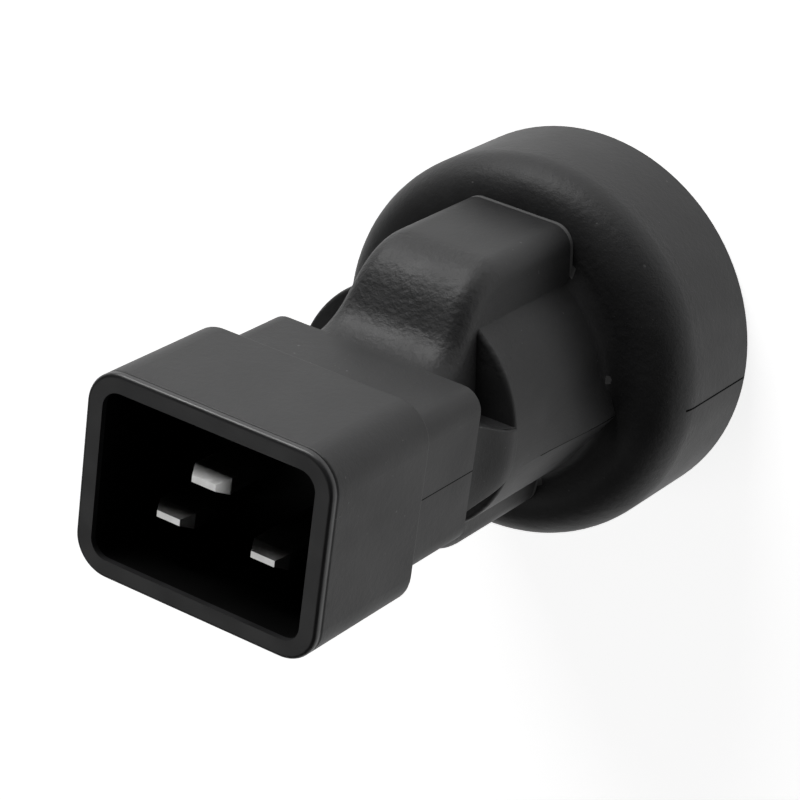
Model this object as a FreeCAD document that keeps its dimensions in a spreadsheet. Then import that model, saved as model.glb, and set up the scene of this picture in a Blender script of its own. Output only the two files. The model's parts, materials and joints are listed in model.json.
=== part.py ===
"""Power plug adapter: a three-pin recessed inlet at the top, a round earthed socket at the bottom.

The adapter stands on the rim of its round socket. Z runs along its axis, up to the inlet,
X along the inlet's long side and Y along its short side, towards the earth pin.
Sizes are in millimetres.
"""
import FreeCAD, Part
import os
import Sketcher

doc = FreeCAD.newDocument("plug_adapter")
sheet = doc.addObject("Spreadsheet::Sheet", "Sizes")

SIZES = {
    # round socket head
    "flange_radius": 24.9,
    "flange_height": 19.4,
    "shoulder_radius": 5.5,
    "foot_chamfer": 0.7,
    # hub behind the head, with a hump on each side of it
    "hub_radius": 15.6,
    "hub_front": 41.0,
    "hub_root_round": 2.0,
    "hub_edge_round": 0.6,
    "core_width": 20.2,
    "hump_crest": 15.4,
    "hump_top": 19.7,
    "hump_bottom": 18.2,
    "hump_setback": 8.5,
    "hump_fall": 5.8,
    "hump_bend": 9.0,
    "hump_foot_round": 6.0,
    "hump_edge_round": 2.8,
    # side webs that carry the neck
    "web_height": 5.8,
    "web_fall": 4.0,
    "web_waist": 26.4,
    "web_round": 5.5,
    "gusset_reach": 5.0,
    # neck and sleeve round the inlet
    "neck_width": 30.0,
    "neck_height": 19.8,
    "neck_corner": 2.7,
    "neck_back": 49.0,
    "sleeve_width": 33.2,
    "sleeve_height": 25.2,
    "sleeve_corner": 4.5,
    "sleeve_back": 62.2,
    "sleeve_edge_round": 0.35,
    "sleeve_wall": 1.1,
    "sleeve_floor": 0.8,
    "overall_length": 81.0,
    # hard inlet insert
    "lip_thickness": 1.0,
    "lip_round": 0.5,
    "shroud_wall": 1.15,
    "shroud_floor": 1.0,
    "carrier_width": 24.0,
    "carrier_height": 14.0,
    "carrier_corner": 2.4,
    "carrier_length": 8.0,
    # inlet pins
    "pin_pitch": 13.0,
    "pin_row_offset": 4.0,
    "pin_width": 5.0,
    "pin_thickness": 2.0,
    "pin_point": 1.65,
    "pin_tip_width": 3.2,
    "pin_tip_thickness": 0.8,
    "power_setback": 3.4,
    "earth_setback": 0.1,
    "tail_length": 3.0,
    # leads
    "lead_diameter": 2.2,
    "lead_drop": 9.0,
    "lead_rise": 2.0,
    # socket insert
    "head_wall": 5.3,
    "floor_cover": 1.2,
    "recess_lead_in": 0.8,
    "cup_wall": 1.2,
    "cup_floor": 1.2,
    "cup_rim_cover": 2.3,
    "cup_rim_thickness": 1.6,
    "rib_width": 4.6,
    "rib_reach": 2.2,
    "rib_start": 2.0,
    "tower_wall": 1.2,
    # socket contacts
    "contact_pitch": 19.0,
    "contact_bore": 5.0,
    "contact_wall": 0.6,
    "contact_length": 15.0,
    "contact_slit": 0.7,
    "contact_tail": 1.8,
    "entry_diameter": 5.6,
    # earth strap with its two side clips
    "strap_width": 5.0,
    "strap_thickness": 0.8,
    "clip_gap": 1.0,
    "clip_bulge": 1.4,
    "clip_bend": 9.5,
    "clip_touch": 5.5,
    "clip_tip": 2.5,
}

for row, (alias, size) in enumerate(SIZES.items(), start=1):
    sheet.set(f"A{row}", alias)
    sheet.set(f"B{row}", str(size))
    sheet.setAlias(f"B{row}", alias)
doc.recompute()


def sized(text):
    """An expression on the sheet: each word that is a size becomes its cell."""
    words = text.split()
    return " ".join(f"Sizes.{word}" if word in SIZES else word for word in words)


def number(text):
    """The present value of such an expression."""
    return float(sheet.evalExpression(sized(text)))


def new_body(name):
    return doc.addObject("PartDesign::Body", name)


def new_sketch(body, role, name, height=None):
    """A sketch on one of the body's own planes, raised along that plane's normal."""
    sketch = body.newObject("Sketcher::SketchObject", name)
    plane = next(feature for feature in body.Origin.OriginFeatures if feature.Role == role)
    sketch.AttachmentSupport = (plane, [""])
    sketch.MapMode = "FlatFace"
    if height:
        sketch.setExpression("AttachmentOffset.Base.z", sized(height))
    return sketch


def bind(sketch, constraint, expression):
    index = sketch.addConstraint(constraint)
    sketch.setExpression(f"Constraints[{index}]", sized(expression))


def add_polygon(sketch, corners, rounds=None):
    """A closed outline through corners given as expressions, some of them rounded."""
    rounds = rounds or {}
    points = [FreeCAD.Vector(number(x), number(y), 0) for x, y in corners]
    count = len(points)
    first = sketch.GeometryCount
    for index in range(count):
        sketch.addGeometry(Part.LineSegment(points[index], points[(index + 1) % count]), False)
    for index in range(count):
        following = (index + 1) % count
        sketch.addConstraint(Sketcher.Constraint("Coincident", first + index, 2, first + following, 1))
    held = {index: first + index for index in range(count)}
    arcs = {}
    for index, radius in rounds.items():
        sketch.fillet(first + index, 1, number(radius), True, True)
        arcs[index] = sketch.GeometryCount - 2
        held[index] = sketch.GeometryCount - 1
    for index, (x, y) in enumerate(corners):
        bind(sketch, Sketcher.Constraint("DistanceX", -1, 1, held[index], 1, number(x)), x)
        bind(sketch, Sketcher.Constraint("DistanceY", -1, 1, held[index], 1, number(y)), y)
    for index, radius in rounds.items():
        bind(sketch, Sketcher.Constraint("Radius", arcs[index], number(radius)), radius)


def add_rectangle(sketch, width, height, corner=None):
    """A rectangle about the sketch's origin, with all four corners rounded alike."""
    right, top = f"( {width} ) / 2", f"( {height} ) / 2"
    left, bottom = f"0 - {right}", f"0 - {top}"
    rounds = dict.fromkeys(range(4), corner) if corner else None
    add_polygon(sketch, [(left, bottom), (right, bottom), (right, top), (left, top)], rounds)


def add_circle(sketch, x, radius):
    centre = FreeCAD.Vector(number(x), 0, 0)
    circle = sketch.addGeometry(Part.Circle(centre, FreeCAD.Vector(0, 0, 1), number(radius)), False)
    bind(sketch, Sketcher.Constraint("DistanceX", -1, 1, circle, 3, number(x)), x)
    sketch.addConstraint(Sketcher.Constraint("PointOnObject", circle, 3, -1))
    bind(sketch, Sketcher.Constraint("Radius", circle, number(radius)), radius)


def pad(body, sketch, length, symmetric=False):
    feature = body.newObject("PartDesign::Pad", f"{sketch.Name}_pad")
    feature.Profile = sketch
    feature.setExpression("Length", sized(length))
    if symmetric:
        feature.SideType = "Symmetric"
    doc.recompute()
    return feature


def pocket(body, sketch, length):
    """A pocket from the sketch downwards; it has to take material away."""
    before = body.Shape.Volume
    feature = body.newObject("PartDesign::Pocket", f"{sketch.Name}_pocket")
    feature.Profile = sketch
    feature.setExpression("Length", sized(length))
    doc.recompute()
    assert body.Shape.Volume < before, f"{sketch.Name} cuts nothing"
    return feature


def revolve(body, sketch):
    feature = body.newObject("PartDesign::Revolution", f"{sketch.Name}_turn")
    feature.Profile = sketch
    feature.ReferenceAxis = (sketch, ["V_Axis"])
    feature.Angle = 360
    doc.recompute()
    return feature


def fillet(body, name, radius, wanted):
    """Rounds every edge of the body that the test function wants."""
    shape = body.Shape
    names = [f"Edge{n}" for n, edge in enumerate(shape.Edges, start=1) if wanted(edge)]
    assert names, f"{name} finds no edge"
    base = body.Tip
    feature = body.newObject("PartDesign::Fillet", name)
    feature.Base = (base, names)
    feature.setExpression("Radius", sized(radius))
    doc.recompute()
    return feature


def near(a, b):
    return abs(a - b) < 0.001


def flat_at(edge, height):
    """The edge lies in the level plane at this height."""
    box = edge.BoundBox
    return near(box.ZMin, height) and near(box.ZMax, height)


def combine(kind, name, shapes):
    feature = doc.addObject(kind, name)
    feature.Shapes = shapes
    return feature


def cut(name, base, tool):
    feature = doc.addObject("Part::Cut", name)
    feature.Base = base
    feature.Tool = tool
    return feature


# Most of its wall that a round may take
ROUND_SHARE = 0.95

# Heights that several pieces share
FLOOR_TOP = "( flange_height - floor_cover )"
RECESS_TOP = f"( {FLOOR_TOP} - cup_floor )"
CONTACT_TOP = f"( {FLOOR_TOP} + contact_length )"
CONTACT_END = f"( {CONTACT_TOP} + contact_tail )"
LEAD_BEND = f"( {CONTACT_END} + lead_drop )"
INLET_BACK = "( sleeve_back + sleeve_floor )"
OPENING_FLOOR = f"( {INLET_BACK} + shroud_floor )"
OPENING_DEPTH = f"( overall_length - {OPENING_FLOOR} )"
LIP_BACK = "( overall_length - lip_thickness )"
CARRIER_BACK = f"( {INLET_BACK} - carrier_length )"
TAIL_END = f"( {CARRIER_BACK} - tail_length )"

# Widths and radii that several pieces share
RECESS_RADIUS = "( flange_radius - head_wall )"
CONTACT_RADIUS = "( contact_bore / 2 + contact_wall )"
SHROUD_WIDTH = "( sleeve_width - 2 * sleeve_wall )"
SHROUD_HEIGHT = "( sleeve_height - 2 * sleeve_wall )"
SHROUD_CORNER = "( sleeve_corner - sleeve_wall )"
OPENING_WIDTH = f"( {SHROUD_WIDTH} - 2 * shroud_wall )"
OPENING_HEIGHT = f"( {SHROUD_HEIGHT} - 2 * shroud_wall )"
OPENING_CORNER = f"( {SHROUD_CORNER} - shroud_wall )"


def outer_moulding():
    """The soft moulding's outside: humps and core, turned head and hub, webs, neck and sleeve."""
    body = new_body("moulding")

    # One long section through humps and core, seen from the side
    spine = new_sketch(body, "YZ_Plane", "spine")
    neck_side = "neck_height / 2"
    core_start = "flange_height / 2"
    core_end = "( neck_back + neck_corner )"
    hump_break = "neck_back - hump_setback"
    hump_foot = f"{hump_break} + hump_fall"
    add_polygon(
        spine,
        [
            ("0 - hump_bottom", core_start),
            ("hump_top", core_start),
            ("hump_top", hump_break),
            (neck_side, hump_foot),
            (neck_side, core_end),
            (f"0 - {neck_side}", core_end),
            (f"0 - {neck_side}", hump_foot),
            ("0 - hump_bottom", hump_break),
        ],
        {2: "hump_bend", 3: "hump_foot_round", 6: "hump_foot_round", 7: "hump_bend"},
    )
    pad(body, spine, "core_width", symmetric=True)

    # Draft on the sides of both humps: the slope runs from the core's middle through the crest's edge
    draft = new_sketch(body, "XY_Plane", "hump_draft", core_end)
    for side in ("", "0 - "):
        for top in ("2 * hump_top", "0 - 2 * hump_bottom"):
            foot, clear = f"{side}core_width / 2", f"{side}core_width"
            lean = f"{side}( hump_crest - core_width / 2 )"
            add_polygon(draft, [(foot, "0"), (clear, "0"), (clear, top), (lean, top)])
    pocket(body, draft, f"{core_end} - {core_start}")
    inner_side = number("neck_height / 4")

    def runs_along_hump(edge):
        box = edge.BoundBox
        return abs(edge.CenterOfMass.y) > inner_side and not near(box.ZMin, box.ZMax)

    fillet(body, "hump_edges", "hump_edge_round", runs_along_hump)

    # Head and hub, turned
    turned = new_sketch(body, "XZ_Plane", "head_and_hub")
    add_polygon(
        turned,
        [
            ("0", "0"),
            ("flange_radius - foot_chamfer", "0"),
            ("flange_radius", "foot_chamfer"),
            ("flange_radius", "flange_height"),
            ("hub_radius", "flange_height"),
            ("hub_radius", "hub_front"),
            ("0", "hub_front"),
        ],
        {
            3: f"min( shoulder_radius ; {ROUND_SHARE} * ( flange_radius - hub_radius - hub_root_round ) )",
            4: "hub_root_round",
            5: "hub_edge_round",
        },
    )
    revolve(body, turned)

    # Side webs flush with the hub, hollowed towards the neck
    web = new_sketch(body, "XZ_Plane", "side_webs")
    waist = "web_waist / 2"
    root = "sqrt( hub_radius ^ 2 - ( web_height / 2 ) ^ 2 )"
    hollow = "hub_front + web_fall"
    add_polygon(
        web,
        [
            (f"0 - {root}", core_start),
            (root, core_start),
            (root, "hub_front"),
            (waist, hollow),
            (waist, core_end),
            (f"0 - {waist}", core_end),
            (f"0 - {waist}", hollow),
            (f"0 - {root}", "hub_front"),
        ],
        dict.fromkeys((2, 3, 6, 7), "web_round"),
    )
    pad(body, web, "web_height", symmetric=True)

    # Gussets below the webs, widening towards the neck
    gusset = new_sketch(body, "YZ_Plane", "gussets")
    below = "0 - web_height / 2"
    add_polygon(
        gusset,
        [
            ("0", "hub_front"),
            ("0", core_end),
            (f"{below} - gusset_reach", core_end),
            (f"{below} - gusset_reach", "neck_back"),
            (below, "hub_front"),
        ],
    )
    pad(body, gusset, "web_waist", symmetric=True)

    # Neck block, then the sleeve round the inlet
    neck = new_sketch(body, "XY_Plane", "neck", "neck_back")
    add_rectangle(neck, "neck_width", "neck_height", "neck_corner")
    pad(body, neck, f"{INLET_BACK} - neck_back")
    sleeve = new_sketch(body, "XY_Plane", "sleeve", "sleeve_back")
    add_rectangle(sleeve, "sleeve_width", "sleeve_height", "sleeve_corner")
    pad(body, sleeve, f"{LIP_BACK} - sleeve_back")
    front = number(LIP_BACK)
    back = number("sleeve_back")
    half = number("sleeve_width / 2") - number("sleeve_corner")
    tall = number("sleeve_height / 2") - number("sleeve_corner")

    def sleeve_rim(edge):
        centre = edge.CenterOfMass
        outside = abs(centre.x) > half or abs(centre.y) > tall
        return outside and (flat_at(edge, front) or flat_at(edge, back)) and beyond_neck(centre)

    def beyond_neck(centre):
        across = number("neck_width / 2") + 0.01
        up = number("neck_height / 2") + 0.01
        return abs(centre.x) > across or abs(centre.y) > up

    fillet(body, "sleeve_edges", "sleeve_edge_round", sleeve_rim)
    return body


def inlet_shell():
    """The hard inlet insert without its pin slots: lip, shroud, opening and pin carrier."""
    body = new_body("inlet_shell")
    shroud = new_sketch(body, "XY_Plane", "shroud", INLET_BACK)
    add_rectangle(shroud, SHROUD_WIDTH, SHROUD_HEIGHT, SHROUD_CORNER)
    pad(body, shroud, f"overall_length - {INLET_BACK}")
    lip = new_sketch(body, "XY_Plane", "lip", LIP_BACK)
    add_rectangle(lip, "sleeve_width", "sleeve_height", "sleeve_corner")
    pad(body, lip, "lip_thickness")
    front = number("overall_length")
    fillet(body, "lip_edges", "lip_round", lambda edge: flat_at(edge, front))
    opening = new_sketch(body, "XY_Plane", "opening", "overall_length")
    add_rectangle(opening, OPENING_WIDTH, OPENING_HEIGHT, OPENING_CORNER)
    pocket(body, opening, OPENING_DEPTH)
    carrier = new_sketch(body, "XY_Plane", "carrier", CARRIER_BACK)
    add_rectangle(carrier, "carrier_width", "carrier_height", "carrier_corner")
    pad(body, carrier, "carrier_length")
    return body


def inlet_pin(name, x, y, setback):
    """A flat blade with a pyramid point; its tail stands out behind the carrier."""
    body = new_body(name)
    tip = f"overall_length - {setback}"
    blade = new_sketch(body, "XY_Plane", f"{name}_blade", TAIL_END)
    add_rectangle(blade, "pin_width", "pin_thickness")
    pad(body, blade, f"{tip} - pin_point - {TAIL_END}")
    root = new_sketch(body, "XY_Plane", f"{name}_root", f"{tip} - pin_point")
    add_rectangle(root, "pin_width", "pin_thickness")
    point = new_sketch(body, "XY_Plane", f"{name}_tip", tip)
    add_rectangle(point, "pin_tip_width", "pin_tip_thickness")
    loft = body.newObject("PartDesign::AdditiveLoft", f"{name}_point")
    loft.Profile = root
    loft.Sections = [point]
    body.setExpression("Placement.Base.x", sized(x))
    body.setExpression("Placement.Base.y", sized(y))
    doc.recompute()
    return body


def socket_shell():
    """The hard socket cup: recess with guide ribs, and a tower round each contact."""
    body = new_body("socket_shell")
    cup = new_sketch(body, "XZ_Plane", "cup")
    outside = f"{RECESS_RADIUS} + cup_wall"
    rim = "flange_radius - cup_rim_cover"
    add_polygon(
        cup,
        [
            ("0", RECESS_TOP),
            (RECESS_RADIUS, RECESS_TOP),
            (RECESS_RADIUS, "recess_lead_in"),
            (f"{RECESS_RADIUS} + recess_lead_in", "0"),
            (rim, "0"),
            (rim, "cup_rim_thickness"),
            (outside, "cup_rim_thickness"),
            (outside, FLOOR_TOP),
            ("0", FLOOR_TOP),
        ],
    )
    revolve(body, cup)
    ribs = new_sketch(body, "XY_Plane", "guide_ribs", "rib_start")
    inner, outer = f"{RECESS_RADIUS} - rib_reach", f"{RECESS_RADIUS} + cup_wall / 2"
    half = "rib_width / 2"
    for sign in ("", "0 - "):
        near_x, far_x = (f"{sign}( {inner} )", f"{sign}( {outer} )")
        add_polygon(ribs, [(near_x, f"0 - {half}"), (far_x, f"0 - {half}"), (far_x, half), (near_x, half)])
    pad(body, ribs, f"{RECESS_TOP} - rib_start")
    towers = new_sketch(body, "XY_Plane", "towers", FLOOR_TOP)
    bores = new_sketch(body, "XY_Plane", "contact_bores", CONTACT_TOP)
    entries = new_sketch(body, "XY_Plane", "entries", FLOOR_TOP)
    for x in ("contact_pitch / 2", "0 - contact_pitch / 2"):
        add_circle(towers, x, f"{CONTACT_RADIUS} + tower_wall")
        add_circle(bores, x, CONTACT_RADIUS)
        add_circle(entries, x, "entry_diameter / 2")
    pad(body, towers, "contact_length")
    pocket(body, bores, "contact_length")
    pocket(body, entries, "cup_floor")
    return body


def socket_contact(name, x):
    """A slit spring sleeve with a closed tail for its lead."""
    body = new_body(name)
    sleeve = new_sketch(body, "XY_Plane", f"{name}_sleeve", FLOOR_TOP)
    add_circle(sleeve, "0", CONTACT_RADIUS)
    add_circle(sleeve, "0", "contact_bore / 2")
    pad(body, sleeve, "contact_length")
    tail = new_sketch(body, "XY_Plane", f"{name}_tail", CONTACT_TOP)
    add_circle(tail, "0", CONTACT_RADIUS)
    pad(body, tail, "contact_tail")
    slit = new_sketch(body, "XY_Plane", f"{name}_slit", f"{FLOOR_TOP} + contact_length * 2 / 3")
    add_rectangle(slit, "contact_slit", f"3 * {CONTACT_RADIUS}")
    pocket(body, slit, "contact_length * 2 / 3")
    body.setExpression("Placement.Base.x", sized(x))
    doc.recompute()
    return body


def earth_strap():
    """One folded strip: a bridge behind the socket floor and a sprung clip on each side."""
    body = new_body("earth_strap")
    section = new_sketch(body, "YZ_Plane", "strap_section")
    reach = f"{RECESS_RADIUS} - clip_gap"
    outer = [
        (reach, f"{FLOOR_TOP} + strap_thickness"),
        (reach, "clip_bend"),
        (f"{reach} - clip_bulge", "clip_touch"),
        (reach, "clip_tip"),
    ]
    inner = [(f"{y} - strap_thickness", z) for y, z in reversed(outer)]
    inner[-1] = (inner[-1][0], FLOOR_TOP)
    one_side = outer + inner
    other_side = [(f"0 - ( {y} )", z) for y, z in reversed(one_side)]
    add_polygon(section, one_side + other_side)
    pad(body, section, "strap_width", symmetric=True)
    return body


def lead(name, start, bend_height, end):
    """An insulated lead: straight down from the pin, across, and straight down onto its contact."""
    points = [start, end]
    if (start.x, start.y) != (end.x, end.y):
        turn = FreeCAD.Vector(start.x, start.y, bend_height)
        landing = FreeCAD.Vector(end.x, end.y, end.z + number("lead_rise"))
        points = [start, turn, landing, end]
    ring = Part.Wire([Part.makeCircle(number("lead_diameter / 2"), start, FreeCAD.Vector(0, 0, -1))])
    feature = doc.addObject("Part::Feature", name)
    feature.Shape = Part.makePolygon(points).makePipeShell([ring], True, False, 1)
    return feature


def build():
    """All sub-parts, as a list of finished objects."""
    half_pitch = "pin_pitch / 2"
    pins = [
        inlet_pin("line_pin", f"0 - {half_pitch}", "0 - pin_row_offset", "power_setback"),
        inlet_pin("neutral_pin", half_pitch, "0 - pin_row_offset", "power_setback"),
        inlet_pin("earth_pin", "0", "pin_row_offset", "earth_setback"),
    ]
    contacts = [
        socket_contact("line_contact", "0 - contact_pitch / 2"),
        socket_contact("neutral_contact", "contact_pitch / 2"),
    ]
    strap = earth_strap()

    tail_end = number(TAIL_END)
    contact_end = number(CONTACT_END)
    bend = number(LEAD_BEND)
    pin_x, pin_y = number(half_pitch), number("pin_row_offset")
    contact_x = number("contact_pitch / 2")
    strap_top = number(f"{FLOOR_TOP} + strap_thickness")
    leads = [
        lead(name, FreeCAD.Vector(side * pin_x, -pin_y, tail_end), bend,
             FreeCAD.Vector(side * contact_x, 0, contact_end))
        for name, side in (("line_lead", -1), ("neutral_lead", 1))
    ]
    earth_start = FreeCAD.Vector(0, pin_y, tail_end)
    leads.append(lead("earth_lead", earth_start, bend, FreeCAD.Vector(0, pin_y, strap_top)))

    inlet = cut("inlet_insert", inlet_shell(), combine("Part::MultiFuse", "pin_slots", pins))
    socket = cut("socket_insert", socket_shell(), strap)

    # Room inside the moulding for the inserts, their hollows and the conductors
    recess = doc.addObject("Part::Cylinder", "recess_space")
    recess.setExpression("Radius", sized(RECESS_RADIUS))
    recess.setExpression("Height", sized(RECESS_TOP))
    hollow = doc.addObject("Part::Box", "opening_space")
    hollow.setExpression("Length", sized(OPENING_WIDTH))
    hollow.setExpression("Width", sized(OPENING_HEIGHT))
    hollow.setExpression("Height", sized(OPENING_DEPTH))
    hollow.setExpression("Placement.Base.x", sized(f"0 - {OPENING_WIDTH} / 2"))
    hollow.setExpression("Placement.Base.y", sized(f"0 - {OPENING_HEIGHT} / 2"))
    hollow.setExpression("Placement.Base.z", sized(OPENING_FLOOR))
    mouth = doc.addObject("Part::Cone", "mouth_space")
    mouth.setExpression("Radius1", sized(f"{RECESS_RADIUS} + recess_lead_in"))
    mouth.setExpression("Radius2", sized(RECESS_RADIUS))
    mouth.setExpression("Height", sized("recess_lead_in"))
    spaces = [recess, mouth, hollow]
    for name, x in (("line_space", "0 - contact_pitch / 2"), ("neutral_space", "contact_pitch / 2")):
        space = doc.addObject("Part::Cylinder", name)
        space.setExpression("Radius", sized(CONTACT_RADIUS))
        space.setExpression("Height", sized("contact_length + cup_floor"))
        space.setExpression("Placement.Base.x", sized(x))
        space.setExpression("Placement.Base.z", sized(RECESS_TOP))
        spaces.append(space)
    filling = combine("Part::MultiFuse", "filling", [inlet, socket, strap] + pins + contacts + leads + spaces)
    overmould = cut("overmould_body", outer_moulding(), filling)
    doc.recompute()
    return [overmould, inlet, socket, strap] + pins + contacts + leads


def check(objects):
    for thing in doc.Objects:
        assert "Invalid" not in thing.State and "Error" not in thing.State, f"{thing.Name}: {thing.State}"
    for thing in objects:
        assert not thing.Shape.isNull() and thing.Shape.isValid(), f"{thing.Name} has no valid shape"


parts = build()
check(parts)
os.makedirs("parts", exist_ok=True)
for part in parts:
    part.Label = part.Name
    part.Shape.exportStep(f"parts/{part.Label}.step")
    print(part.Label, len(part.Shape.Solids), round(part.Shape.Volume, 1))
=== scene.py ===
"""Looks of the power plug adapter: finishes, seams, moulded skins, floor, light and camera."""
import json
import math

import bpy
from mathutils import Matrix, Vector


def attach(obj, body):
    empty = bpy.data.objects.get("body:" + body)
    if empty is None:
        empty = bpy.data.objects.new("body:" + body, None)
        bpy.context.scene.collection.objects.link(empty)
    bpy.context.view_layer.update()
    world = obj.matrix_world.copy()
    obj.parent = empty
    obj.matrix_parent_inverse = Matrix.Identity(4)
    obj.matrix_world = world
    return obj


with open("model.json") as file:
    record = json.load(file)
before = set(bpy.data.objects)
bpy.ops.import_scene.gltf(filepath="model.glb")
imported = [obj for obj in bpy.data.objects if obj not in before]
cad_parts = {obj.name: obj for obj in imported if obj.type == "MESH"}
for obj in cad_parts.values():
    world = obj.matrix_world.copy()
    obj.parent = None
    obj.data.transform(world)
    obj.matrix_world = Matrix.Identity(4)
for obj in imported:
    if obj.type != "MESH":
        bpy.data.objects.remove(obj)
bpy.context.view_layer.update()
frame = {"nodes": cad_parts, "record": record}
nodes = frame["nodes"]
scene = bpy.context.scene

MM = 0.001

# Camera: place in millimetres, turn in degrees, lens on a 36 mm sensor, and nearest view in metres
CAMERA_PLACE = (167.08, 154.56, 324.33)
CAMERA_TURN = (-20.70, 33.531, 8.168)
CAMERA_LENS = 137.7
SENSOR_WIDTH = 36.0
CLIP_START = 0.01

# Linear colours
WHITE = (1, 1, 1, 1)
BLACK = (0, 0, 0, 1)
MOULDING_DARK = (0.018, 0.018, 0.0185, 1)
MOULDING_LIGHT = (0.026, 0.026, 0.0265, 1)
SPECK = (0.05, 0.05, 0.05, 1)
SEAM_COLOUR = (0.003, 0.003, 0.003, 1)
# Painted highlight on the band at each hump's foot; also the colour of the pale spot at the hub's root
PALE_HIGHLIGHT_AND_SPOT = (0.11, 0.11, 0.11, 1)
HARD_DARK = (0.016, 0.016, 0.0165, 1)
HARD_LIGHT = (0.022, 0.022, 0.023, 1)
# Painted shade on the insert inside the inlet
CAVITY_PAINTED_SHADE = (0.004, 0.004, 0.004, 1)
PLATED = (0.80, 0.80, 0.79, 1)
PLATED_DULL = (0.68, 0.68, 0.67, 1)
# Painted shade on the pins' feet inside the inlet
PIN_PAINTED_SHADE = (0.20, 0.20, 0.20, 1)
BRASS = (0.78, 0.60, 0.30, 1)
BRASS_DULL = (0.55, 0.40, 0.18, 1)
INSULATION = {
    "line_insulation": ((0.14, 0.06, 0.03, 1), (0.2, 0.09, 0.04, 1)),
    "neutral_insulation": ((0.03, 0.1, 0.4, 1), (0.05, 0.16, 0.5, 1)),
    "earth_insulation": ((0.16, 0.4, 0.03, 1), (0.25, 0.5, 0.06, 1)),
}

# Noise: the part of its range that is used, and its usual detail and roughness
NOISE_LOW = 0.3
NOISE_HIGH = 0.7
NOISE_DETAIL = 3.0
NOISE_ROUGHNESS = 0.55

# Size of the noise's features in metres
MOTTLE_SIZE = 0.006
LEATHER_SIZE = 0.0008
GRAIN_SIZE = 0.00025
SPECK_SIZE = 0.0006
HARD_MOTTLE_SIZE = 0.004
HARD_GRAIN_SIZE = 0.00015
METAL_LINE_SIZE = 0.0002
METAL_CLOUD_SIZE = 0.0015
INSULATION_MOTTLE_SIZE = 0.002

# Detail and roughness of the noise where they aren't the usual ones
MOTTLE_DETAIL = 4.0
GRAIN_DETAIL = 2.0
SPECK_DETAIL = 1.0
SPECK_ROUGHNESS = 0.2

# Levels of the noise at which a speck starts to show and is full
SPECK_LEVELS = (0.80, 0.84)

# Scale of the metal's lines on X, Y and Z, which draws them out along the axis
METAL_LINE_STRETCH = (1, 1, 0.05)

# Relief: depth in metres and strength
MOTTLE_RELIEF = (0.00004, 0.4)
LEATHER_RELIEF = (0.00022, 0.6)
GRAIN_RELIEF = (0.00003, 0.6)
HARD_RELIEF = (0.000006, 0.5)
METAL_RELIEF = (0.000002, 0.3)

# Roughness from the smoothest to the dullest spot, and sheen
MOULDING_ROUGHNESS = (0.50, 0.58)
MOULDING_SHEEN = 0.40
HARD_ROUGHNESS = (0.34, 0.44)
HARD_SHEEN = 0.5
# Sheen taken away by the painted shade inside the inlet
CAVITY_PAINTED_SHADE_SHEEN_LOSS = 0.42
METAL_ROUGHNESS = (0.28, 0.37)
INSULATION_ROUGHNESS = (0.35, 0.5)

# Angle up to which an edge is shaded smooth
SMOOTH_ANGLE = math.radians(32)

# Parting seams, in millimetres: how far out the flanks start, and the seams on them
SEAM_FLANK = 13.0
SEAMS = [
    # place across, lean per level, half width, lower end, upper end
    (0.0, 0.0, 0.22, 0.0, 15.5),
    (0.0, 0.0, 0.11, 49.0, 62.2),
    (-1.84, -0.089, 0.13, 20.0, 34.0),
]

# Share of a seam's width that is fully dark
SEAM_CORE = 1 / 3

# Painted highlight: a pale band round the foot of each hump, in millimetres
HIGHLIGHT_BAND_SPAN = (19.45, 20.05)
HIGHLIGHT_BAND_INNER = 13.3
HIGHLIGHT_BAND_HALF_WIDTH = 8.8

# Tiny pale spot at the hub's root: place and radius in millimetres
PALE_SPOT_PLACE = (15.96, 2.6, 20.2)
PALE_SPOT_RADIUS = 0.5

# Leathery humps, in millimetres: levels of their bent fronts, and how far from the axis these start
LEATHER_HUMP = (36.0, 49.0)
LEATHER_REACH = 8.0

# Leathery shoulder of the head: levels in millimetres, and the share of the grain there and elsewhere
LEATHER_SHOULDER = (12.0, 20.5)
LEATHER_SHOULDER_SHARE = 0.5
LEATHER_ELSEWHERE = 0.25

# Painted shade in the corner round the hub's root, as sheen taken away: radius and level of its ring in
# millimetres
ROOT_RING = (16.8, 20.0)

# Reach of that painted shade from the ring and its span across in millimetres, and the share of sheen it
# takes
ROOT_REACH = (12.0, 1.0)
ROOT_SPAN = (-7.0, -2.0)
ROOT_PAINTED_SHADE_SHARE = 0.7

# Inside of the inlet: levels between which shade is painted on the insert, and between which painted shade
# darkens the pins, in millimetres
CAVITY_LEVELS = (50.0, 80.2)
PIN_SHADE = (69.0, 76.5)

# Moulded skin over each web, in millimetres: levels, radii, and upper and lower edge at both ends
SKIN_LEVELS = (40.2, 49.3)
SKIN_RADII = (15.63, 13.2)
SKIN_TOP = (2.7, 4.3)
SKIN_BOTTOM = (-4.1, -9.0)
SKIN_SUNK = 4.5

# Course of that skin from hub to neck: its fall, the bend of its lower edge and its loss of roundness
SKIN_FALL_START = 0.08
SKIN_FALL_LENGTH = 0.75
SKIN_BOTTOM_BEND = 0.8
SKIN_FLATTENING = 0.6

# Raised crease along the hub's seam, in millimetres: levels, fading levels and the radius it rises from
CREASE_LEVELS = (19.5, 40.9)
CREASE_FADE = (20.0, 41.0)
CREASE_RADIUS = 15.52
CREASE_SUNK = 1.2

# Angles of the crease in degrees: where it starts and runs out, and its crest at the root and faded
CREASE_ENDS = (16.0, -34.0)
CREASE_CREST = (-6.0, -13.0)

# Mesh of the skins: steps along and down, and the round on their edges in metres
SKIN_STEPS = (28, 20)
EDGE_ROUND = 0.0004
EDGE_SEGMENTS = 3
EDGE_ANGLE = math.radians(50)

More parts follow.
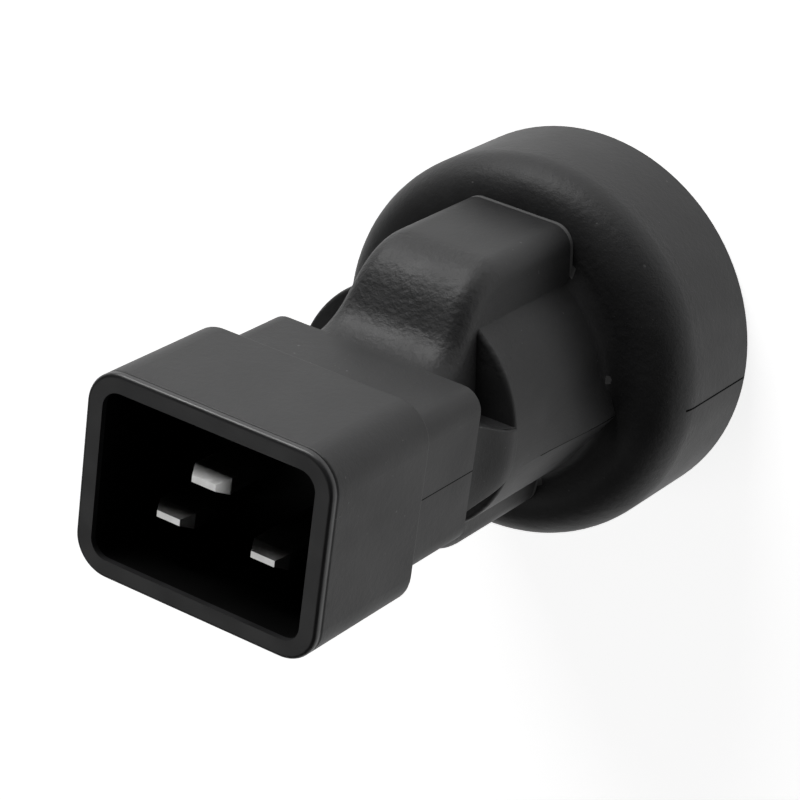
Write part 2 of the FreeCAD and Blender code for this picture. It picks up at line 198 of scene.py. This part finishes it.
# Floor in metres, and the white that it shows by itself; its lit colour and soft shadow come on top
FLOOR_HALF = 3.0
FLOOR_LEVEL = -0.0002
FLOOR_COLOUR = (0.8, 0.8, 0.8, 1)
FLOOR_ROUGHNESS = 0.9
FLOOR_SHEEN = 0.1
FLOOR_GLOW = 0.85

# Area lights: place, width and height in metres, and power in watts
LIGHT_AIM = (0, 0, 0.045)
LIGHTS = {
    "key": ((-0.25, 0.57, 0.17), 0.40, 0.20, 3.4),
    "flank": ((0.62, -0.16, 0.10), 0.35, 0.16, 0.3),
    "pin_card": ((-0.41, -0.38, 0.74), 0.50, 0.50, 0.60),
}
WORLD_STRENGTH = 0.05


def tree_of(name):
    """A new node material, its node tree and its surface shader."""
    material = bpy.data.materials.new(name)
    material.use_nodes = True
    tree = material.node_tree
    shader = tree.nodes["Principled BSDF"]
    return material, tree, shader


def add(tree, kind, **values):
    """A new node with the given settings."""
    node = tree.nodes.new(kind)
    for key, value in values.items():
        setattr(node, key, value)
    return node


def noise(tree, size, detail=NOISE_DETAIL, roughness=NOISE_ROUGHNESS):
    """Noise in the object's own space, with features of the given size in metres."""
    place = add(tree, "ShaderNodeTexCoord")
    texture = add(tree, "ShaderNodeTexNoise")
    texture.inputs["Scale"].default_value = 1 / size
    texture.inputs["Detail"].default_value = detail
    texture.inputs["Roughness"].default_value = roughness
    tree.links.new(place.outputs["Object"], texture.inputs["Vector"])
    return texture.outputs["Fac"]


def ramp(tree, source, first, second, low=NOISE_LOW, high=NOISE_HIGH):
    """A colour that goes from the first to the second as the source rises from low to high."""
    node = add(tree, "ShaderNodeValToRGB")
    for element, place, colour in zip(node.color_ramp.elements, (low, high), (first, second)):
        element.position = place
        element.color = colour
    tree.links.new(source, node.inputs["Fac"])
    return node.outputs["Color"]


def spread(tree, source, low, high):
    """Maps noise about its middle onto a range of values."""
    node = add(tree, "ShaderNodeMapRange")
    node.inputs["From Min"].default_value = NOISE_LOW
    node.inputs["From Max"].default_value = NOISE_HIGH
    node.inputs["To Min"].default_value = low
    node.inputs["To Max"].default_value = high
    tree.links.new(source, node.inputs["Value"])
    return node.outputs["Result"]


def bump(tree, source, relief, below=None):
    """Relief of the given depth and strength, laid over any relief below it."""
    depth, strength = relief
    node = add(tree, "ShaderNodeBump")
    node.inputs["Strength"].default_value = strength
    node.inputs["Distance"].default_value = depth
    tree.links.new(source, node.inputs["Height"])
    if below is not None:
        tree.links.new(below, node.inputs["Normal"])
    return node.outputs["Normal"]


def calculate(tree, operation, first, second):
    """A sum on two inputs, each a socket or a plain number."""
    node = add(tree, "ShaderNodeMath", operation=operation)
    for socket, value in zip(node.inputs, (first, second)):
        if isinstance(value, (int, float)):
            socket.default_value = value
        else:
            tree.links.new(value, socket)
    return node.outputs["Value"]


def blend(tree, factor, first, second, kind="MIX"):
    """Two colours mixed by a factor; each is a socket or a plain colour."""
    node = add(tree, "ShaderNodeMix", data_type="RGBA", blend_type=kind)
    for name, value in (("Factor", factor), ("A", first), ("B", second)):
        if isinstance(value, (float, tuple)):
            node.inputs[name].default_value = value
        else:
            tree.links.new(value, node.inputs[name])
    return node.outputs["Result"]


def axes(tree):
    """The object's own X, Y and Z, in metres."""
    place = add(tree, "ShaderNodeTexCoord")
    split = add(tree, "ShaderNodeSeparateXYZ")
    tree.links.new(place.outputs["Object"], split.inputs["Vector"])
    return (split.outputs[axis] for axis in "XYZ")


def between(tree, value, low, high):
    """One where the value lies between two lengths in millimetres."""
    above = calculate(tree, "GREATER_THAN", value, low * MM)
    return calculate(tree, "MULTIPLY", above, calculate(tree, "LESS_THAN", value, high * MM))


def step(tree, value, start, end, kind="LINEAR"):
    """A rise from nought to one between two lengths in millimetres."""
    node = add(tree, "ShaderNodeMapRange", interpolation_type=kind)
    node.inputs["From Min"].default_value = start * MM
    node.inputs["From Max"].default_value = end * MM
    tree.links.new(value, node.inputs["Value"])
    return node.outputs["Result"]


def length(tree, first, second):
    """The length of a line from its two components."""
    squares = calculate(tree, "MULTIPLY", first, first)
    squares = calculate(tree, "ADD", squares, calculate(tree, "MULTIPLY", second, second))
    return calculate(tree, "POWER", squares, 0.5)


def seam_mask(tree):
    """One along the parting seams, nought elsewhere."""
    x, y, z = axes(tree)
    flank = calculate(tree, "GREATER_THAN", calculate(tree, "ABSOLUTE", x, 0), SEAM_FLANK * MM)
    total = 0.0
    for across, lean, half_width, low, high in SEAMS:
        place = calculate(tree, "MULTIPLY", calculate(tree, "SUBTRACT", z, low * MM), lean)
        place = calculate(tree, "ADD", place, across * MM)
        offset = calculate(tree, "ABSOLUTE", calculate(tree, "SUBTRACT", y, place), 0)
        line = step(tree, offset, half_width, half_width * SEAM_CORE)
        seam = calculate(tree, "MULTIPLY", line, between(tree, z, low, high))
        total = calculate(tree, "MAXIMUM", total, seam)
    return calculate(tree, "MULTIPLY", total, flank)


def painted_highlight_mask(tree):
    """One along the painted highlight band where the humps run onto the head."""
    x, y, z = axes(tree)
    across = calculate(tree, "LESS_THAN", calculate(tree, "ABSOLUTE", x, 0), HIGHLIGHT_BAND_HALF_WIDTH * MM)
    outside = calculate(tree, "GREATER_THAN", calculate(tree, "ABSOLUTE", y, 0), HIGHLIGHT_BAND_INNER * MM)
    area = calculate(tree, "MULTIPLY", across, outside)
    return calculate(tree, "MULTIPLY", area, between(tree, z, *HIGHLIGHT_BAND_SPAN))


def pale_spot_mask(tree, ragged):
    """One within the pale spot, whose edge follows the ragged noise."""
    place = add(tree, "ShaderNodeTexCoord")
    distance = add(tree, "ShaderNodeVectorMath", operation="DISTANCE")
    distance.inputs[1].default_value = Vector(PALE_SPOT_PLACE) * MM
    tree.links.new(place.outputs["Object"], distance.inputs[0])
    limit = calculate(tree, "MULTIPLY", ragged, 2 * PALE_SPOT_RADIUS * MM)
    return calculate(tree, "LESS_THAN", distance.outputs["Value"], limit)


def leather_share(tree):
    """How strong the leathery grain is: full on the humps, half on the shoulder and faint elsewhere."""
    _, y, z = axes(tree)
    reach = calculate(tree, "GREATER_THAN", calculate(tree, "ABSOLUTE", y, 0), LEATHER_REACH * MM)
    hump = calculate(tree, "MULTIPLY", reach, between(tree, z, *LEATHER_HUMP))
    shoulder = calculate(tree, "MULTIPLY", between(tree, z, *LEATHER_SHOULDER), LEATHER_SHOULDER_SHARE)
    zone = calculate(tree, "MAXIMUM", hump, shoulder)
    return calculate(tree, "MAXIMUM", zone, LEATHER_ELSEWHERE)


def sheen_left_by_painted_shade(tree):
    """Share of the sheen that is left: low under the painted shade in the corner round the hub's root,
    full away from it.
    """
    x, y, z = axes(tree)
    outward = calculate(tree, "SUBTRACT", length(tree, x, y), ROOT_RING[0] * MM)
    upward = calculate(tree, "SUBTRACT", z, ROOT_RING[1] * MM)
    near = step(tree, length(tree, outward, upward), *ROOT_REACH, "SMOOTHSTEP")
    dull = calculate(tree, "MULTIPLY", near, step(tree, y, *ROOT_SPAN, "SMOOTHSTEP"))
    return calculate(tree, "SUBTRACT", 1.0, calculate(tree, "MULTIPLY", dull, ROOT_PAINTED_SHADE_SHARE))


def moulding_material():
    """Soft black moulding: satin, with a leathery grain, a slow mottle, pale specks, seams, a painted
    highlight at each hump's foot and a pale spot.
    """
    material, tree, shader = tree_of("soft_moulding")
    mottle = noise(tree, MOTTLE_SIZE, MOTTLE_DETAIL)
    leather = noise(tree, LEATHER_SIZE)
    grain = noise(tree, GRAIN_SIZE, GRAIN_DETAIL)
    specks = noise(tree, SPECK_SIZE, SPECK_DETAIL, SPECK_ROUGHNESS)
    seam = seam_mask(tree)
    colour = ramp(tree, mottle, MOULDING_DARK, MOULDING_LIGHT)
    pale = ramp(tree, specks, BLACK, SPECK, *SPECK_LEVELS)
    colour = blend(tree, 1.0, colour, pale, "ADD")
    highlight_and_spot = calculate(tree, "MAXIMUM", painted_highlight_mask(tree), pale_spot_mask(tree, leather))
    # Painted highlight along each hump's foot, and the pale spot at the hub's root
    colour = blend(tree, highlight_and_spot, colour, PALE_HIGHLIGHT_AND_SPOT)
    colour = blend(tree, seam, colour, SEAM_COLOUR)
    tree.links.new(colour, shader.inputs["Base Color"])
    tree.links.new(spread(tree, mottle, *MOULDING_ROUGHNESS), shader.inputs["Roughness"])
    sheen = calculate(tree, "SUBTRACT", MOULDING_SHEEN, calculate(tree, "MULTIPLY", seam, MOULDING_SHEEN))
    # Painted shade: less sheen in the corner round the hub's root
    sheen = calculate(tree, "MULTIPLY", sheen, sheen_left_by_painted_shade(tree))
    tree.links.new(sheen, shader.inputs["Specular IOR Level"])
    leather = calculate(tree, "MULTIPLY", leather, leather_share(tree))
    relief = bump(tree, mottle, MOTTLE_RELIEF)
    relief = bump(tree, leather, LEATHER_RELIEF, relief)
    relief = bump(tree, grain, GRAIN_RELIEF, relief)
    tree.links.new(relief, shader.inputs["Normal"])
    return material


def hard_material():
    """Hard black insert plastic: smoother and a little glossier than the moulding, with painted shade in
    the inlet.
    """
    material, tree, shader = tree_of("hard_plastic")
    mottle = noise(tree, HARD_MOTTLE_SIZE)
    grain = noise(tree, HARD_GRAIN_SIZE, GRAIN_DETAIL)
    _, _, z = axes(tree)
    painted_shade_inside = between(tree, z, *CAVITY_LEVELS)
    colour = ramp(tree, mottle, HARD_DARK, HARD_LIGHT)
    # Painted shade: darker colour and less sheen inside the inlet
    tree.links.new(blend(tree, painted_shade_inside, colour, CAVITY_PAINTED_SHADE), shader.inputs["Base Color"])
    tree.links.new(spread(tree, mottle, *HARD_ROUGHNESS), shader.inputs["Roughness"])
    tree.links.new(bump(tree, grain, HARD_RELIEF), shader.inputs["Normal"])
    sheen = calculate(tree, "SUBTRACT", HARD_SHEEN, calculate(tree, "MULTIPLY", painted_shade_inside, CAVITY_PAINTED_SHADE_SHEEN_LOSS))
    tree.links.new(sheen, shader.inputs["Specular IOR Level"])
    return material


def metal_material(name, bright, dull, shade=None):
    """Drawn or rolled metal: fine lines along the axis, a cloudy polish and, with shade, painted shade
    darkening the feet.
    """
    material, tree, shader = tree_of(name)
    place = add(tree, "ShaderNodeTexCoord")
    squeeze = add(tree, "ShaderNodeMapping")
    squeeze.inputs["Scale"].default_value = METAL_LINE_STRETCH
    lines = add(tree, "ShaderNodeTexNoise")
    lines.inputs["Scale"].default_value = 1 / METAL_LINE_SIZE
    lines.inputs["Detail"].default_value = NOISE_DETAIL
    tree.links.new(place.outputs["Object"], squeeze.inputs["Vector"])
    tree.links.new(squeeze.outputs["Vector"], lines.inputs["Vector"])
    cloud = noise(tree, METAL_CLOUD_SIZE)
    colour = ramp(tree, cloud, dull, bright)
    # Painted shade: the pins darken towards their feet
    if shade:
        _, _, z = axes(tree)
        colour = blend(tree, step(tree, z, *shade), PIN_PAINTED_SHADE, colour)
    tree.links.new(colour, shader.inputs["Base Color"])
    tree.links.new(spread(tree, lines.outputs["Fac"], *METAL_ROUGHNESS), shader.inputs["Roughness"])
    tree.links.new(bump(tree, lines.outputs["Fac"], METAL_RELIEF), shader.inputs["Normal"])
    shader.inputs["Metallic"].default_value = 1.0
    return material


def insulation_material(name, dark, light):
    """Thin coloured insulation of a lead."""
    material, tree, shader = tree_of(name)
    mottle = noise(tree, INSULATION_MOTTLE_SIZE)
    tree.links.new(ramp(tree, mottle, dark, light), shader.inputs["Base Color"])
    tree.links.new(spread(tree, mottle, *INSULATION_ROUGHNESS), shader.inputs["Roughness"])
    return material


def shade_smooth(thing):
    """Smooth shading that keeps the sharp edges."""
    bpy.context.view_layer.objects.active = thing
    thing.select_set(True)
    bpy.ops.object.shade_auto_smooth(angle=SMOOTH_ANGLE)
    thing.select_set(False)


def dress():
    """Gives every CAD node its finish and smooth shading."""
    finishes = {
        "soft_moulding": moulding_material(),
        "hard_plastic": hard_material(),
        "plated_pin": metal_material("plated_pin", PLATED, PLATED_DULL, PIN_SHADE),
        "spring_contact": metal_material("spring_contact", BRASS, BRASS_DULL),
    }
    for name, (dark, light) in INSULATION.items():
        finishes[name] = insulation_material(name, dark, light)
    for entry in frame["record"]["subparts"]:
        thing = nodes[entry["node"]]
        thing.data.materials.clear()
        thing.data.materials.append(finishes[entry["material_slot"]])
        shade_smooth(thing)
    return finishes


def smooth(share):
    """A share from nought to one, eased at both ends."""
    share = min(max(share, 0.0), 1.0)
    return share * share * (3 - 2 * share)


def mix(ends, share):
    """The value at a share of the way between two ends."""
    return ends[0] + share * (ends[1] - ends[0])


def web_point(along, down):
    """A point of the right web's skin: along runs from hub to neck, down from upper to lower edge."""
    level = mix(SKIN_LEVELS, along)
    fall = smooth((along - SKIN_FALL_START) / SKIN_FALL_LENGTH)
    radius = mix(SKIN_RADII, fall)
    top = mix(SKIN_TOP, fall)
    bottom = mix(SKIN_BOTTOM, along**SKIN_BOTTOM_BEND)
    y = mix((top, bottom), down)
    roundness = 1 - SKIN_FLATTENING * fall
    return math.sqrt(radius**2 - (roundness * y)**2), y, level


def crease_point(along, down):
    """A point of the right crease: a hollow rise from the hub to the crest, and a flat fall from it."""
    level = mix(CREASE_LEVELS, along)
    fade = smooth((level - CREASE_FADE[0]) / (CREASE_FADE[1] - CREASE_FADE[0]))
    start, end = (math.radians(angle) for angle in CREASE_ENDS)
    crest = math.radians(mix(CREASE_CREST, fade))
    if down < 0.5:
        angle = mix((start, crest), 2 * down)
    else:
        angle = mix((crest, end), 2 * down - 1)
    rise = CREASE_RADIUS / math.cos(min(angle, crest) - end) - CREASE_RADIUS
    rise *= min(1.0, (start - angle) / (start - crest))**2
    rise *= 1 - fade
    radius = CREASE_RADIUS + rise
    return radius * math.cos(angle), radius * math.sin(angle), level


def skin_faces(rows, columns, side):
    """Faces of a closed skin, turned outward; its inner points are numbered after its outer ones."""
    wide = columns + 1
    back = (rows + 1) * wide
    faces = []
    for i in range(rows):
        for j in range(columns):
            a = i * wide + j
            b = a + 1
            c = b + wide
            d = a + wide
            faces += [(a, b, c, d), (back + d, back + c, back + b, back + a)]
    rims = []
    for i in range(rows):
        rims.append(((i + 1) * wide, i * wide))
        rims.append((i * wide + columns, (i + 1) * wide + columns))
    for j in range(columns):
        rims.append((j, j + 1))
        rims.append((rows * wide + j + 1, rows * wide + j))
    faces += [(back + a, back + b, b, a) for a, b in rims]
    if side > 0:
        faces = [face[::-1] for face in faces]
    return faces


def skin(name, side, point, sunk, material):
    """A closed skin of the moulding through the points of one flank, sunk into the solid below it."""
    rows, columns = SKIN_STEPS
    outer = [point(i / rows, j / columns) for i in range(rows + 1) for j in range(columns + 1)]
    inner = [(x - sunk, y, z) for x, y, z in outer]
    places = [(side * x * MM, y * MM, z * MM) for x, y, z in outer + inner]
    mesh = bpy.data.meshes.new(name)
    mesh.from_pydata(places, [], skin_faces(rows, columns, side))
    mesh.materials.append(material)
    piece = bpy.data.objects.new(name, mesh)
    scene.collection.objects.link(piece)
    shade_smooth(piece)
    edge = piece.modifiers.new("edge", "BEVEL")
    edge.width = EDGE_ROUND
    edge.segments = EDGE_SEGMENTS
    edge.limit_method = "ANGLE"
    edge.angle_limit = EDGE_ANGLE
    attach(piece, "root")


def floor():
    """A pale floor that reads white to the camera and keeps the object's soft shadow."""
    corners = [(-1, -1), (1, -1), (1, 1), (-1, 1)]
    mesh = bpy.data.meshes.new("floor")
    mesh.from_pydata([(x * FLOOR_HALF, y * FLOOR_HALF, 0) for x, y in corners], [], [(0, 1, 2, 3)])
    ground = bpy.data.objects.new("floor", mesh)
    scene.collection.objects.link(ground)
    ground.location.z = FLOOR_LEVEL
    material, tree, shader = tree_of("floor")
    shader.inputs["Base Color"].default_value = FLOOR_COLOUR
    shader.inputs["Roughness"].default_value = FLOOR_ROUGHNESS
    shader.inputs["Specular IOR Level"].default_value = FLOOR_SHEEN
    path = add(tree, "ShaderNodeLightPath")
    seen = calculate(tree, "MAXIMUM", path.outputs["Is Camera Ray"], path.outputs["Is Glossy Ray"])
    seen = calculate(tree, "MAXIMUM", seen, path.outputs["Is Transmission Ray"])
    glow = add(tree, "ShaderNodeEmission")
    glow.inputs["Color"].default_value = WHITE
    tree.links.new(calculate(tree, "MULTIPLY", seen, FLOOR_GLOW), glow.inputs["Strength"])
    both = add(tree, "ShaderNodeAddShader")
    tree.links.new(shader.outputs["BSDF"], both.inputs[0])
    tree.links.new(glow.outputs["Emission"], both.inputs[1])
    tree.links.new(both.outputs["Shader"], tree.nodes["Material Output"].inputs["Surface"])
    mesh.materials.append(material)


def area_light(name, place, width, height, power):
    """A soft rectangular light that faces the middle of the object."""
    lamp = bpy.data.lights.new(name, "AREA")
    lamp.shape = "RECTANGLE"
    lamp.size = width
    lamp.size_y = height
    lamp.energy = power
    thing = bpy.data.objects.new(name, lamp)
    thing.location = place
    thing.rotation_euler = (Vector(LIGHT_AIM) - Vector(place)).to_track_quat("-Z", "Y").to_euler()
    scene.collection.objects.link(thing)


def light():
    """A light on the earth pin's side, one along the right flank, one for the pins, and a dim world."""
    for name, (place, width, height, power) in LIGHTS.items():
        area_light(name, place, width, height, power)
    world = bpy.data.worlds.new("studio")
    world.use_nodes = True
    background = world.node_tree.nodes["Background"]
    background.inputs["Color"].default_value = WHITE
    background.inputs["Strength"].default_value = WORLD_STRENGTH
    scene.world = world


def camera():
    """A camera fitted to the photograph's view."""
    lens = bpy.data.cameras.new("camera")
    lens.lens = CAMERA_LENS
    lens.sensor_width = SENSOR_WIDTH
    lens.clip_start = CLIP_START
    eye = bpy.data.objects.new("camera", lens)
    eye.location = Vector(CAMERA_PLACE) * MM
    eye.rotation_euler = [math.radians(turn) for turn in CAMERA_TURN]
    scene.collection.objects.link(eye)
    scene.camera = eye


finishes = dress()
for flank, side in (("right", 1), ("left", -1)):
    skin(f"web_skin_{flank}", side, web_point, SKIN_SUNK, finishes["soft_moulding"])
    skin(f"seam_crease_{flank}", side, crease_point, CREASE_SUNK, finishes["soft_moulding"])
floor()
light()
camera()
scene.view_settings.view_transform = "Standard"
